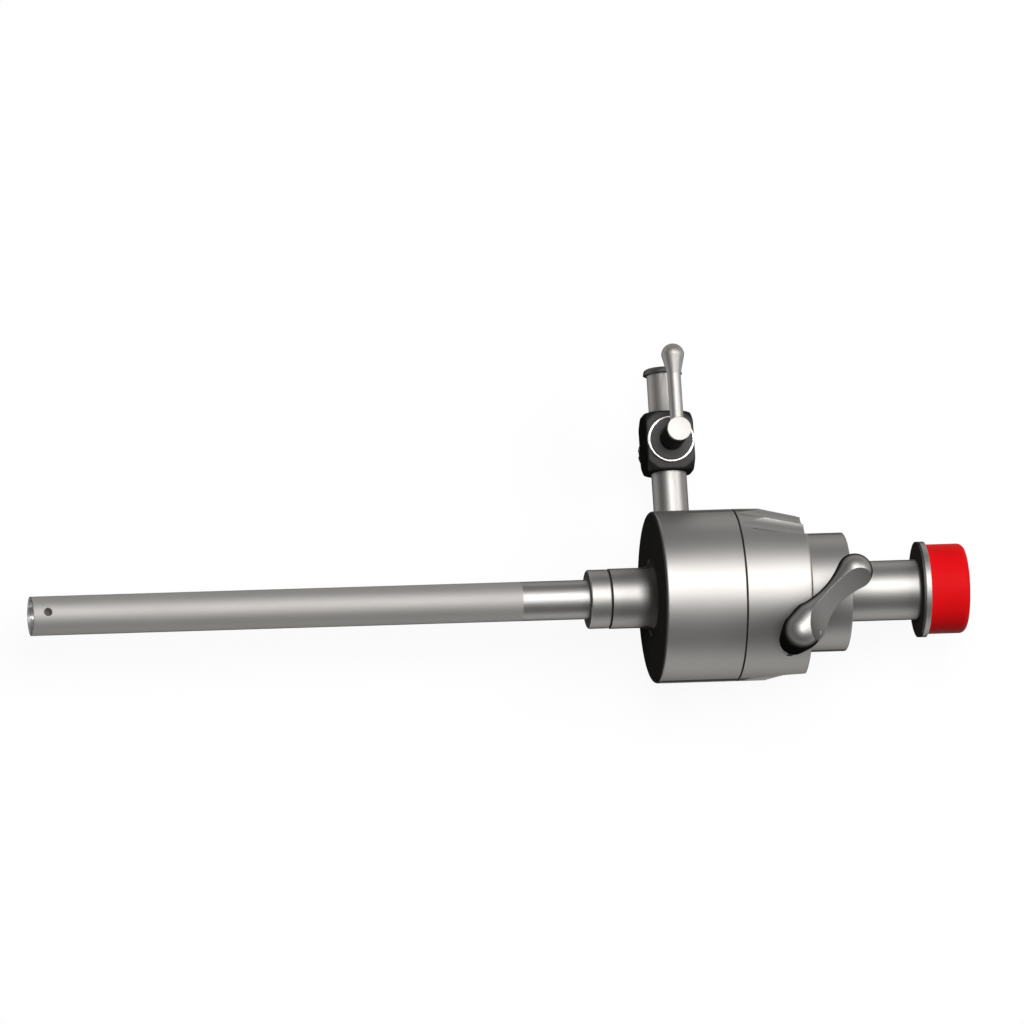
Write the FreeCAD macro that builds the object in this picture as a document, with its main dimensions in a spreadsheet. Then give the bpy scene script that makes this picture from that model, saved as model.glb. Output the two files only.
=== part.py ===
import FreeCAD, Part
import math
import os
import re
import Sketcher

# Laparoscopic trocar with a flap valve and a stopcock, in millimetres. It lies on its side: +X runs along
# the cannula from its distal tip to the seal cap, +Y points to the stopcock and +Z to the thumb lever.

SIZES = {
    # Cannula
    "tube_radius": 3.5,
    "tube_bore_radius": 3.0,
    "tube_seat_radius": 3.3,
    "tube_socket_depth": 6.0,
    "vent_radius": 0.75,
    "vent_station": 2.6,
    "collar_station": 100.2,
    "collar_length": 3.3,
    "collar_radius": 5.24,
    "collar_round": 0.25,
    "collar_seal_thickness": 0.6,
    "collar_seal_radius": 4.74,
    # Front of the valve housing
    "nose_radius": 5.35,
    "nose_length": 7.8,
    "nose_fillet": 1.9,
    "drum_radius": 15.275,
    "drum_length": 14.4,
    "drum_round": 0.6,
    "drum_front_wall": 2.0,
    "drum_wall": 2.275,
    "seam_gap": 0.35,
    "seam_depth": 0.4,
    # Fluted rear ring
    "ring_length": 11.75,
    "ring_round": 0.5,
    "ring_spigot_length": 4.1,
    "spigot_clearance": 0.03,
    "spigot_wall": 1.07,
    "end_wall": 1.8,
    "flute_count": 15,
    "flute_pitch": 16.0,
    "flute_first_angle": 43.5,
    "flute_tool_radius": 3.4,
    "flute_depth": 2.31,
    "flute_length": 11.3,
    # Rear housing, neck and seal cap
    "rear_radius": 10.53,
    "rear_length": 7.9,
    "rear_round": 0.2,
    "rear_spigot_radius": 7.4,
    "rear_spigot_length": 2.4,
    "channel_radius": 3.3,
    "neck_radius": 5.335,
    "neck_length": 13.2,
    "neck_socket_radius": 4.4,
    "neck_socket_depth": 5.3,
    "gasket_thickness": 0.8,
    "flange_radius": 8.485,
    "flange_thickness": 1.35,
    "cap_spigot_radius": 6.0,
    "cap_spigot_length": 3.5,
    "cap_radius": 7.95,
    "cap_length": 7.15,
    "cap_round": 1.15,
    "cap_clearance": 0.05,
    "cap_roof": 0.8,
    "entry_radius": 2.4,
    "entry_length": 1.0,
    "funnel_radius": 4.2,
    # Flap valve and its shaft
    "pivot_setback": 0.13,
    "pivot_inset": 4.055,
    "shaft_radius": 0.9,
    "shaft_clearance": 0.03,
    "shaft_end_gap": 0.1,
    "shaft_cover": 1.8,
    "bush_radius": 1.3,
    "bush_recess": 2.55,
    "journal_radius": 0.6,
    "journal_bush_radius": 1.0,
    "journal_length": 2.4,
    "shaft_seal_section": 0.36,
    "boss_radius": 1.8,
    "boss_rise": 0.3,
    "washer_thickness": 0.35,
    "pocket_floor": 3.4,
    "pocket_clearance": 0.2,
    "pocket_wall": 1.975,
    "pocket_length": 8.3,
    "knuckle_radius": 1.6,
    "knuckle_gap": 0.2,
    "knuckle_top": 1.6,
    "strap_half_width": 1.5,
    "strap_thickness": 1.0,
    "plate_radius": 5.2,
    "plate_thickness": 1.0,
    "rivet_radius": 0.7,
    "rivet_head_radius": 1.3,
    "rivet_head_height": 0.5,
    "seat_gap": 0.05,
    "seat_projection": 1.6,
    "seat_radius": 5.8,
    "seat_bore_radius": 3.4,
    "seat_lip": 0.5,
    "seat_socket_depth": 1.8,
    "spring_wire_radius": 0.2,
    "spring_coil_radius": 1.3,
    "spring_gap": 0.15,
    "spring_end_gap": 0.25,
    "spring_pitch": 0.5,
    "spring_turns": 4,
    "spring_fixed_leg": 0.8,
    "spring_moving_leg": 3.6,
    "clip_radius": 1.6,
    "clip_thickness": 0.35,
    "clip_gap": 0.05,
    "clip_mouth": 1.2,
    "clip_groove": 0.2,
    # Thumb lever
    "lever_angle": 45.7,
    "lever_rise": 5.86,
    "lever_length": 15.39,
    "hub_radius": 3.46,
    "hub_shift": 0.79,
    "hub_straight": 3.4,
    "foot_radius": 2.65,
    "shoulder_curve": 2.2,
    "waist_curve": 14.5,
    "lobe_radius": 3.2,
    "scoop_station": 8.96,
    "scoop_radius": 12.7,
    "scoop_offset": 0.42,
    "scoop_angle": 137.8,
    "stem_clearance": 0.05,
    "pin_radius": 0.4,
    "pin_rise": 1.55,
    # Stopcock
    "stopcock_setback": 4.45,
    "stem_radius": 3.14,
    "gas_radius": 1.25,
    "stem_seat_wall": 0.4,
    "stem_length": 7.025,
    "block_width": 8.6,
    "block_height": 10.7,
    "block_turned_radius": 4.6,
    "block_turned_length": 1.85,
    "port_spigot_radius": 2.2,
    "port_spigot_length": 1.9,
    "plug_large_radius": 2.8,
    "plug_small_radius": 2.4,
    "plug_clearance": 0.02,
    "plug_tail_radius": 1.5,
    "plug_post_radius": 1.2,
    "plug_post_length": 3.6,
    "plug_ring_radius": 4.15,
    "plug_ring_bevel": 0.35,
    "plug_ring_thickness": 0.6,
    "plug_gap": 0.05,
    "head_radius": 3.77,
    "head_thickness": 0.35,
    "handle_hub_radius": 2.15,
    "handle_hub_length": 8.1,
    "handle_dome": 0.9,
    "rod_radius": 1.2,
    "rod_rise": 6.85,
    "rod_end": 10.25,
    "knob_radius": 2.05,
    "knob_centre": 13.7,
    "tail_washer_radius": 3.4,
    "tail_washer_thickness": 0.6,
    "spring_washer_radius": 3.1,
    "spring_washer_height": 0.8,
    "spring_washer_thickness": 0.35,
    "nut_radius": 3.8,
    "nut_length": 3.0,
    "nut_slot_width": 0.9,
    "nut_slot_depth": 0.8,
    "port_radius": 2.86,
    "port_length": 7.3,
    "port_rim_radius": 3.5,
    "port_rim_thickness": 0.9,
    "socket_mouth_radius": 2.15,
    "socket_floor_radius": 1.92,
    "socket_depth": 7.0,
}

doc = FreeCAD.newDocument("Trocar")
sheet = doc.addObject("Spreadsheet::Sheet", "Sizes")
for row, (alias, size) in enumerate(SIZES.items(), start=1):
    sheet.set(f"A{row}", alias.replace("_", " "))
    sheet.set(f"B{row}", str(size))
    sheet.setAlias(f"B{row}", alias)
doc.recompute()

NAME = re.compile(r"\b(?!sin\b|cos\b|tan\b|sqrt\b|atan\b|deg\b)[a-z]\w*")
ORIGIN_PLANES = {"X": "XY_Plane", "Y": "XY_Plane", "Z": "XZ_Plane"}
SUB_PARTS = []


def bound(formula):
    """Write a formula of sheet names the way a property's expression needs it."""
    return NAME.sub(lambda match: "Sizes." + match.group(0), formula)


def number(formula):
    """The present value of a formula of sheet names."""
    return float(sheet.evalExpression(bound(formula)))


def total(*terms):
    return " + ".join(f"({term})" for term in terms)


# Stations that several pieces share, each worked out from the driving sizes.
NOSE_STATION = total("collar_station", "collar_length", "collar_seal_thickness")
DRUM_STATION = total(NOSE_STATION, "nose_length")
SEAM_STATION = total(DRUM_STATION, "drum_length")
RING_STATION = total(SEAM_STATION, "seam_gap")
REAR_STATION = total(RING_STATION, "ring_length")
NECK_STATION = total(REAR_STATION, "rear_length")
FLANGE_STATION = total(NECK_STATION, "neck_length")
CAP_STATION = total(FLANGE_STATION, "flange_thickness")
TUBE_END = total(NOSE_STATION, "tube_socket_depth")
DRUM_BORE = "(drum_radius - drum_wall)"
SPIGOT_RADIUS = f"({DRUM_BORE} - spigot_clearance)"
CAVITY_RADIUS = f"({SPIGOT_RADIUS} - spigot_wall)"

# The flap's shaft stands across the drum. Its heights follow the drum's round outside, up from the middle.
SEAT_FRONT = f"({REAR_STATION} - rear_spigot_length - seat_projection)"
PLATE_STATION = f"({SEAT_FRONT} - seat_gap - plate_thickness)"
PIVOT_STATION = f"({SEAT_FRONT} + pivot_setback)"
PIVOT_OFFSET = "(drum_radius - pivot_inset)"
BOSS_TOP = f"(sqrt(drum_radius ^ 2 - ({PIVOT_OFFSET} - foot_radius) ^ 2) + boss_rise)"
BUSH_TOP = f"({BOSS_TOP} - bush_recess)"
JOURNAL_FLOOR = "(pocket_floor + journal_length)"
SPRING_BOTTOM = "(knuckle_top + spring_gap + spring_wire_radius)"
SPRING_TOP = f"({SPRING_BOTTOM} + spring_pitch * spring_turns + spring_wire_radius)"
CLIP_HEIGHT = f"({SPRING_TOP} + spring_end_gap)"
POCKET_TOP = f"({CLIP_HEIGHT} + clip_thickness + clip_gap)"
POCKET_RADIUS = "(knuckle_radius + pocket_clearance)"
KNUCKLE_BOTTOM = "(pocket_floor - knuckle_gap)"
LEVER_HEIGHT = f"({BOSS_TOP} + lever_rise)"
SHAFT_TOP = f"({LEVER_HEIGHT} - shaft_cover)"
PIN_HEIGHT = f"({BOSS_TOP} + pin_rise)"
PIVOT = (PIVOT_STATION, f"-{PIVOT_OFFSET}")

# The stopcock stands on the drum's side.
STOPCOCK_STATION = f"({DRUM_STATION} + stopcock_setback)"
STEM_SEAT = f"({DRUM_BORE} + stem_seat_wall)"
BLOCK_BOTTOM = "(drum_radius + stem_length)"
BLOCK_TOP = f"({BLOCK_BOTTOM} + block_height)"
PLUG_CENTRE = f"({BLOCK_BOTTOM} + block_height / 2)"
PLUG_AXIS = (STOPCOCK_STATION, PLUG_CENTRE)


def new_body(name, at=("0", "0", "0"), turned_about_z="0"):
    """A sub-part with its own label and a placement that follows the sheet."""
    body = doc.addObject("PartDesign::Body", name)
    body.Label = name
    place = "; ".join(f"({bound(part)}) * 1mm" for part in at)
    body.setExpression(
        "Placement",
        f"create(<<placement>>; create(<<vector>>; {place}); "
        f"create(<<rotation>>; create(<<vector>>; 0; 0; 1); ({bound(turned_about_z)}) * 1deg))",
    )
    SUB_PARTS.append(body)
    return body


def origin_feature(body, role):
    return next(item for item in body.Origin.OriginFeatures if item.Role == role)


def new_sketch(body, name, plane, height="0"):
    """A sketch on one of the body's own origin planes, raised along the plane's normal."""
    sketch = body.newObject("Sketcher::SketchObject", name)
    sketch.AttachmentSupport = [(origin_feature(body, plane), "")]
    sketch.MapMode = "FlatFace"
    sketch.setExpression("AttachmentOffset.Base.z", bound(height))
    return sketch


def pin_point(sketch, geometry, end, across, up):
    """Fix a sketch point at two formulas, on the sketch's own axes where a formula is zero."""
    for kind, axis_line, formula in (("DistanceX", -2, across), ("DistanceY", -1, up)):
        if formula == "0":
            sketch.addConstraint(Sketcher.Constraint("PointOnObject", geometry, end, axis_line))
            continue
        index = sketch.addConstraint(Sketcher.Constraint(kind, -1, 1, geometry, end, number(formula)))
        sketch.setExpression(f"Constraints[{index}]", bound(formula))


def arc_between(start, finish, radius, side):
    """The shorter arc from start to finish whose centre lies on the left (1) or right (-1)."""
    chord = finish - start
    middle = (start + finish) * 0.5
    normal = FreeCAD.Vector(-chord.y, chord.x, 0).normalize()
    centre = middle + normal * side * math.sqrt(max(radius ** 2 - (chord.Length / 2) ** 2, 0))
    through = centre + (middle - centre).normalize() * radius
    if (middle - centre).Length < 1e-7:
        through = middle - normal * side * radius
    return Part.Arc(start, through, finish)


def draw_outline(sketch, corners, swap=False):
    """Draw a closed outline. A corner is (across, up), or (across, up, radius, side) after an arc."""
    if swap:
        corners = [(corner[1], corner[0], *corner[2:]) for corner in corners]
    points = [FreeCAD.Vector(number(corner[0]), number(corner[1]), 0) for corner in corners]
    edges = []
    for index, corner in enumerate(corners):
        start, finish = points[index - 1], points[index]
        if len(corner) == 2:
            edges.append(sketch.addGeometry(Part.LineSegment(start, finish)))
            continue
        edges.append(sketch.addGeometry(arc_between(start, finish, number(corner[2]), corner[3])))
    for index, corner in enumerate(corners):
        edge, following = edges[index], edges[(index + 1) % len(edges)]
        last = end_at(sketch, edge, points[index])
        first = end_at(sketch, following, points[index])
        sketch.addConstraint(Sketcher.Constraint("Coincident", edge, last, following, first))
        pin_point(sketch, edge, last, corner[0], corner[1])
        if len(corner) > 2:
            radius = sketch.addConstraint(Sketcher.Constraint("Radius", edge, number(corner[2])))
            sketch.setExpression(f"Constraints[{radius}]", bound(corner[2]))


def end_at(sketch, edge, point):
    """1 or 2: the end of a sketch edge that lies at a point."""
    return min((1, 2), key=lambda end: (sketch.getPoint(edge, end) - point).Length)


def turn(body, name, axis, corners, cut=False):
    """Revolve an outline of (station along the axis, radius) corners, or cut that shape away."""
    sketch = new_sketch(body, f"{name}_outline", ORIGIN_PLANES[axis])
    draw_outline(sketch, corners, swap=axis != "X")
    kind = "PartDesign::Groove" if cut else "PartDesign::Revolution"
    feature = body.newObject(kind, name)
    feature.Profile = sketch
    feature.ReferenceAxis = (sketch, ["H_Axis" if axis == "X" else "V_Axis"])
    feature.Angle = 360
    return feature


def circle_sketch(body, name, plane, centre, radius, height="0"):
    sketch = new_sketch(body, name, plane, height)
    middle = FreeCAD.Vector(number(centre[0]), number(centre[1]), 0)
    circle = sketch.addGeometry(Part.Circle(middle, FreeCAD.Vector(0, 0, 1), number(radius)))
    pin_point(sketch, circle, 3, *centre)
    index = sketch.addConstraint(Sketcher.Constraint("Radius", circle, number(radius)))
    sketch.setExpression(f"Constraints[{index}]", bound(radius))
    return sketch


def extrude(body, name, sketch, length, cut=False, both_ways=False, backwards=False):
    """Pad or pocket a sketch over a length given as a formula."""
    feature = body.newObject("PartDesign::Pocket" if cut else "PartDesign::Pad", name)
    feature.Profile = sketch
    feature.setExpression("Length", bound(length))
    feature.Midplane = both_ways
    feature.Reversed = backwards
    return feature


def round_edges(body, name, base, size, wanted):
    """Round the circular edges at the wanted (axis, station, radius) places."""
    doc.recompute()
    names = []
    for index, edge in enumerate(base.Shape.Edges, start=1):
        if not isinstance(edge.Curve, Part.Circle):
            continue
        for axis, station, radius in wanted:
            along = getattr(edge.Curve.Center, axis)
            if abs(along - number(station)) < 1e-4 and abs(edge.Curve.Radius - number(radius)) < 1e-4:
                names.append(f"Edge{index}")
    fillet = body.newObject("PartDesign::Fillet", name)
    fillet.Base = (base, names)
    fillet.setExpression("Radius", bound(size))
    return fillet


def polar(body, name, features, axis, angle, count):
    pattern = body.newObject("PartDesign::PolarPattern", name)
    pattern.Originals = features
    pattern.Axis = (origin_feature(body, f"{axis}_Axis"), [""])
    pattern.setExpression("Angle", bound(angle))
    pattern.setExpression("Occurrences", bound(count))
    body.Tip = pattern
    return pattern


def tube_outline(start, finish, inner, outer):
    return [(start, inner), (finish, inner), (finish, outer), (start, outer)]


def ring_piece(name, axis, length, inner, outer, at):
    """A plain turned ring that starts at its own origin."""
    body = new_body(name, at)
    turn(body, "ring", axis, tube_outline("0", length, inner, outer))
    return body


def build_cannula():
    tube = new_body("cannula_tube")
    turn(tube, "wall", "X", [
        ("0", "tube_bore_radius"), (TUBE_END, "tube_bore_radius"), (TUBE_END, "tube_seat_radius"),
        ("collar_station", "tube_seat_radius"), ("collar_station", "tube_radius"), ("0", "tube_radius"),
    ])
    vent = circle_sketch(tube, "vent_outline", "XY_Plane", ("vent_station", "0"), "vent_radius")
    extrude(tube, "vent", vent, "3 * tube_radius", cut=True, both_ways=True)

    collar = new_body("cannula_collar", ("collar_station", "0", "0"))
    blank = turn(collar, "blank", "X",
                 tube_outline("0", "collar_length", "tube_seat_radius", "collar_radius"))
    round_edges(collar, "rim", blank, "collar_round",
                [("x", "0", "collar_radius"), ("x", "collar_length", "collar_radius")])
    ring_piece("collar_seal", "X", "collar_seal_thickness", "tube_seat_radius", "collar_seal_radius",
               (total("collar_station", "collar_length"), "0", "0"))


def build_drum():
    drum = new_body("drum_shell", (NOSE_STATION, "0", "0"))
    rear = total("nose_length", "drum_length")
    floor = total("nose_length", "drum_front_wall")
    blank = turn(drum, "blank", "X", [
        ("0", "tube_seat_radius"), ("tube_socket_depth", "tube_seat_radius"),
        ("tube_socket_depth", "tube_bore_radius"), (floor, "tube_bore_radius"),
        (floor, DRUM_BORE), (rear, DRUM_BORE), (rear, "drum_radius"),
        ("nose_length", "drum_radius"), ("nose_length", "nose_radius"), ("0", "nose_radius"),
    ])
    root = round_edges(drum, "nose_root", blank, "nose_fillet", [("x", "nose_length", "nose_radius")])
    round_edges(drum, "front_rim", root, "drum_round", [("x", "nose_length", "drum_radius")])
    stem_x = f"{STOPCOCK_STATION} - ({NOSE_STATION})"
    socket = circle_sketch(drum, "stem_socket_outline", "XZ_Plane", (stem_x, "0"), "stem_radius",
                           f"-{STEM_SEAT}")
    extrude(drum, "stem_socket", socket, "drum_radius", cut=True)
    inlet = circle_sketch(drum, "gas_inlet_outline", "XZ_Plane", (stem_x, "0"), "gas_radius")
    extrude(drum, "gas_inlet", inlet, "drum_radius", cut=True)

    ring_piece("housing_seal", "X", "seam_gap", DRUM_BORE, "drum_radius - seam_depth",
               (SEAM_STATION, "0", "0"))


def build_rear_ring():
    ring = new_body("rear_ring", (RING_STATION, "0", "0"))
    start = "-ring_spigot_length"
    inner_end = "ring_length - end_wall"
    blank = turn(ring, "blank", "X", [
        (start, CAVITY_RADIUS), (inner_end, CAVITY_RADIUS), (inner_end, "rear_spigot_radius"),
        ("ring_length", "rear_spigot_radius"), ("ring_length", "drum_radius"), ("0", "drum_radius"),
        ("0", SPIGOT_RADIUS), (start, SPIGOT_RADIUS),
    ])
    round_edges(ring, "rear_rim", blank, "ring_round", [("x", "ring_length", "drum_radius")])
    pivot_x = f"{PIVOT_STATION} - ({RING_STATION})"
    centre = (pivot_x, f"-{PIVOT_OFFSET}")
    boss = circle_sketch(ring, "boss_outline", "XY_Plane", centre, "boss_radius", POCKET_TOP)
    extrude(ring, "boss", boss, f"{BOSS_TOP} - {POCKET_TOP}")
    knuckle_room = circle_sketch(ring, "knuckle_room_outline", "XY_Plane", centre, POCKET_RADIUS,
                                 "-pocket_floor")
    extrude(ring, "knuckle_room", knuckle_room, f"pocket_floor + {POCKET_TOP}", cut=True, backwards=True)
    swing_room = new_sketch(ring, "swing_room_outline", "XY_Plane")
    outer, inner = "-(drum_radius - pocket_wall)", f"-{PIVOT_OFFSET} + boss_radius"
    draw_outline(swing_room, [
        (pivot_x, outer), (pivot_x, inner),
        (f"{inner_end} - pocket_length", inner), (f"{inner_end} - pocket_length", outer),
    ])
    extrude(ring, "swing_room", swing_room, "2 * (strap_half_width + pocket_clearance)", cut=True,
            both_ways=True)
    bore = circle_sketch(ring, "shaft_bore_outline", "XY_Plane", centre, "bush_radius")
    extrude(ring, "shaft_bore", bore, BOSS_TOP, cut=True, backwards=True)
    journal = circle_sketch(ring, "journal_bore_outline", "XY_Plane", centre, "journal_bush_radius",
                            f"-{JOURNAL_FLOOR}")
    extrude(ring, "journal_bore", journal, JOURNAL_FLOOR, cut=True, backwards=True)

    slope = "atan(flute_depth / flute_length)"
    reach = "(drum_radius - flute_depth)"
    tool = ring.newObject("PartDesign::SubtractiveCylinder", "flute")
    tool.setExpression("Radius", bound("flute_tool_radius"))
    tool.setExpression("Height", bound("2 * flute_length"))
    place_tool(tool, "ring_length", reach, slope)
    polar(ring, "flutes", [tool], "X", "-flute_pitch * (flute_count - 1)", "flute_count")


def place_tool(tool, station, reach, slope):
    """Lay the flute tool on its slope, its lowest line at the valley's radius on the rear face."""
    side = "(90deg - flute_first_angle * 1deg)"
    axis_height = f"({reach} + flute_tool_radius / cos({slope}))"
    tool.setExpression("Placement", (
        f"create(<<placement>>; create(<<vector>>; 0; 0; 0); create(<<rotation>>; "
        f"create(<<vector>>; 1; 0; 0); {bound(side)})) * "
        f"create(<<placement>>; create(<<vector>>; ({bound(station)}) * 1mm; {bound(axis_height)} * 1mm; "
        f"0mm); create(<<rotation>>; create(<<vector>>; 0; 0; 1); -({bound(slope)}))) * "
        f"create(<<placement>>; create(<<vector>>; {bound('flute_tool_radius')} * 1mm; 0mm; 0mm); "
        f"create(<<rotation>>; create(<<vector>>; 0; 1; 0); -90deg))"
    ))


def build_rear_housing():
    rear = new_body("rear_housing", (REAR_STATION, "0", "0"))
    socket = "rear_length - neck_socket_depth - gasket_thickness"
    blank = turn(rear, "blank", "X", [
        ("-rear_spigot_length", "seat_radius"), ("-rear_spigot_length + seat_socket_depth", "seat_radius"),
        ("-rear_spigot_length + seat_socket_depth", "channel_radius"), (socket, "channel_radius"),
        (socket, "neck_socket_radius"), ("rear_length", "neck_socket_radius"),
        ("rear_length", "rear_radius"), ("0", "rear_radius"), ("0", "rear_spigot_radius"),
        ("-rear_spigot_length", "rear_spigot_radius"),
    ])
    round_edges(rear, "rear_rim", blank, "rear_round", [("x", "rear_length", "rear_radius")])

    ring_piece("neck_gasket", "X", "gasket_thickness", "channel_radius", "neck_socket_radius",
               (f"{REAR_STATION} + {socket}", "0", "0"))

    neck = new_body("seal_neck", (NECK_STATION, "0", "0"))
    flange = total("neck_length", "flange_thickness")
    spigot_end = total(flange, "cap_spigot_length")
    turn(neck, "blank", "X", [
        ("-neck_socket_depth", "channel_radius"), (spigot_end, "channel_radius"),
        (spigot_end, "cap_spigot_radius"), (flange, "cap_spigot_radius"), (flange, "flange_radius"),
        ("neck_length", "flange_radius"), ("neck_length", "neck_radius"), ("0", "neck_radius"),
        ("0", "neck_socket_radius"), ("-neck_socket_depth", "neck_socket_radius"),
    ])

    seat_end = f"{REAR_STATION} - rear_spigot_length + seat_socket_depth - {SEAT_FRONT}"
    seat = new_body("valve_seat", (SEAT_FRONT, "0", "0"))
    turn(seat, "lip_ring", "X", [
        ("0", "seat_bore_radius"), (seat_end, "seat_bore_radius"), (seat_end, "seat_radius"),
        ("seat_lip", "seat_radius"), ("0", "seat_bore_radius + seat_lip"),
    ])

    cap = new_body("seal_cap", (f"{CAP_STATION} + cap_clearance", "0", "0"))
    roof = "cap_spigot_length + cap_clearance + cap_roof"
    inner = "cap_spigot_radius + cap_clearance"
    body_end = "cap_length - cap_clearance"
    skirt = turn(cap, "skirt", "X", [
        ("0", inner), ("cap_spigot_length", inner), (roof, "entry_radius"),
        (total(roof, "entry_length"), "entry_radius"), (body_end, "funnel_radius"),
        (body_end, "cap_radius"), ("0", "cap_radius"),
    ])
    round_edges(cap, "rear_rim", skirt, "cap_round", [("x", body_end, "cap_radius")])


def build_flap():
    arm = new_body("flap_arm", (*PIVOT, "0"))
    face = f"{PLATE_STATION} - {PIVOT_STATION}"
    knuckle = circle_sketch(arm, "knuckle_outline", "XY_Plane", ("0", "0"), "knuckle_radius",
                            f"-{KNUCKLE_BOTTOM}")
    extrude(arm, "knuckle", knuckle, f"{KNUCKLE_BOTTOM} + knuckle_top")
    strap_end = f"{PIVOT_OFFSET} + strap_half_width"
    strap = new_sketch(arm, "strap_outline", "XY_Plane")
    draw_outline(strap, [
        (f"{face} - strap_thickness", "strap_thickness / 2"), ("0", "strap_thickness / 2"),
        ("0", "knuckle_radius"), (face, "2 * knuckle_radius"), (face, strap_end),
        (f"{face} - strap_thickness", strap_end),
    ])
    extrude(arm, "strap", strap, "2 * strap_half_width", both_ways=True)
    bore = circle_sketch(arm, "shaft_bore_outline", "XY_Plane", ("0", "0"), "shaft_radius",
                         f"-{KNUCKLE_BOTTOM}")
    extrude(arm, "shaft_bore", bore, f"2 * {KNUCKLE_BOTTOM} + 2 * knuckle_top", cut=True, backwards=True)
    hole = circle_sketch(arm, "rivet_hole_outline", "YZ_Plane", (PIVOT_OFFSET, "0"), "rivet_radius",
                         f"{face} - 2 * strap_thickness")
    extrude(arm, "rivet_hole", hole, "3 * strap_thickness", cut=True, backwards=True)

    plate = new_body("flap_plate", (PLATE_STATION, "0", "0"))
    turn(plate, "disc", "X", tube_outline("0", "plate_thickness", "rivet_radius", "plate_radius"))

    rivet = new_body("flap_rivet", (PLATE_STATION, "0", "0"))
    head = "-strap_thickness - rivet_head_height"
    turn(rivet, "shank_and_head", "X", [
        (head, "0"), ("plate_thickness", "0"), ("plate_thickness", "rivet_radius"),
        ("-strap_thickness", "rivet_radius"), ("-strap_thickness", "rivet_head_radius"),
        (head, "rivet_radius"),
    ])


def build_shaft():
    shaft = new_body("lever_shaft", (*PIVOT, "0"), "lever_angle")
    bottom = f"-({JOURNAL_FLOOR} - shaft_end_gap)"
    shoulder = f"-{KNUCKLE_BOTTOM}"
    groove_end = total(CLIP_HEIGHT, "clip_thickness")
    turn(shaft, "rod", "Z", [
        (bottom, "0"), (bottom, "journal_radius"), (shoulder, "journal_radius"),
        (shoulder, "shaft_radius"), (CLIP_HEIGHT, "shaft_radius"),
        (CLIP_HEIGHT, "shaft_radius - clip_groove"), (groove_end, "shaft_radius - clip_groove"),
        (groove_end, "shaft_radius"), (SHAFT_TOP, "shaft_radius"), (SHAFT_TOP, "0"),
    ])
    hole = circle_sketch(shaft, "pin_hole_outline", "XZ_Plane", ("0", PIN_HEIGHT), "pin_radius")
    extrude(shaft, "pin_hole", hole, "4 * shaft_radius", cut=True, both_ways=True)

    bushes = new_body("shaft_bushes", (*PIVOT, "0"))
    bore = "shaft_radius + shaft_clearance"
    turn(bushes, "upper", "Z", tube_outline(POCKET_TOP, BUSH_TOP, bore, "bush_radius"))
    doc.recompute()
    lower = new_sketch(bushes, "lower_outline", "XZ_Plane")
    below = tube_outline(f"-{JOURNAL_FLOOR}", "-pocket_floor", "journal_radius + shaft_clearance",
                         "journal_bush_radius")
    draw_outline(lower, below, swap=True)
    sleeve = bushes.newObject("PartDesign::Revolution", "lower")
    sleeve.Profile = lower
    sleeve.ReferenceAxis = (lower, ["V_Axis"])
    sleeve.Angle = 360

    seal = new_body("shaft_seal", (*PIVOT, f"{BUSH_TOP} + shaft_seal_section / 2"))
    section = circle_sketch(seal, "section", "XZ_Plane",
                            ("bush_radius - shaft_seal_section / 2", "0"),
                            "shaft_seal_section / 2")
    loop = seal.newObject("PartDesign::Revolution", "loop")
    loop.Profile = section
    loop.ReferenceAxis = (section, ["V_Axis"])
    loop.Angle = 360

    ring_piece("thrust_washer", "Z", "washer_thickness", bore, "boss_radius",
               (*PIVOT, BOSS_TOP))

    clip = new_body("shaft_clip", (*PIVOT, CLIP_HEIGHT))
    groove_radius = "shaft_radius - clip_groove"
    turn(clip, "ring", "Z", tube_outline("0", "clip_thickness", groove_radius, "clip_radius"))
    mouth = new_sketch(clip, "mouth_outline", "XY_Plane")
    draw_outline(mouth, [("0", "-clip_mouth / 2"), ("2 * clip_radius", "-clip_mouth / 2"),
                         ("2 * clip_radius", "clip_mouth / 2"), ("0", "clip_mouth / 2")])
    extrude(clip, "mouth", mouth, "2 * clip_thickness", cut=True, both_ways=True)

    pin = new_body("lever_pin", (*PIVOT, PIN_HEIGHT), "lever_angle")
    rod = circle_sketch(pin, "rod_outline", "XZ_Plane", ("0", "0"), "pin_radius")
    extrude(pin, "rod", rod, "2 * foot_radius - pin_radius", both_ways=True)


def build_spring():
    """The torsion spring: a coil round the shaft with one straight leg at each end."""
    spring = new_body("torsion_spring", (*PIVOT, SPRING_BOTTOM), "180")
    section = circle_sketch(spring, "wire_section", "XZ_Plane", ("spring_coil_radius", "0"),
                            "spring_wire_radius")
    coil = spring.newObject("PartDesign::AdditiveHelix", "coil")
    coil.Profile = section
    coil.ReferenceAxis = (section, ["V_Axis"])
    coil.Mode = 1
    coil.setExpression("Pitch", bound("spring_pitch"))
    coil.setExpression("Turns", bound("spring_turns"))
    top = "spring_pitch * spring_turns"
    legs = (("moving_leg", "spring_moving_leg", "0", "1"), ("fixed_leg", "spring_fixed_leg", top, "-1"))
    for name, length, height, side in legs:
        leg = spring.newObject("PartDesign::AdditiveCylinder", name)
        leg.setExpression("Radius", bound("spring_wire_radius"))
        leg.setExpression("Height", bound(length))
        leg.setExpression("Placement", (
            f"create(<<placement>>; create(<<vector>>; {bound('spring_coil_radius')} * 1mm; 0mm; "
            f"({bound(height)}) * 1mm); create(<<rotation>>; create(<<vector>>; 1; 0; 0); {side} * 90deg))"
        ))


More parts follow.
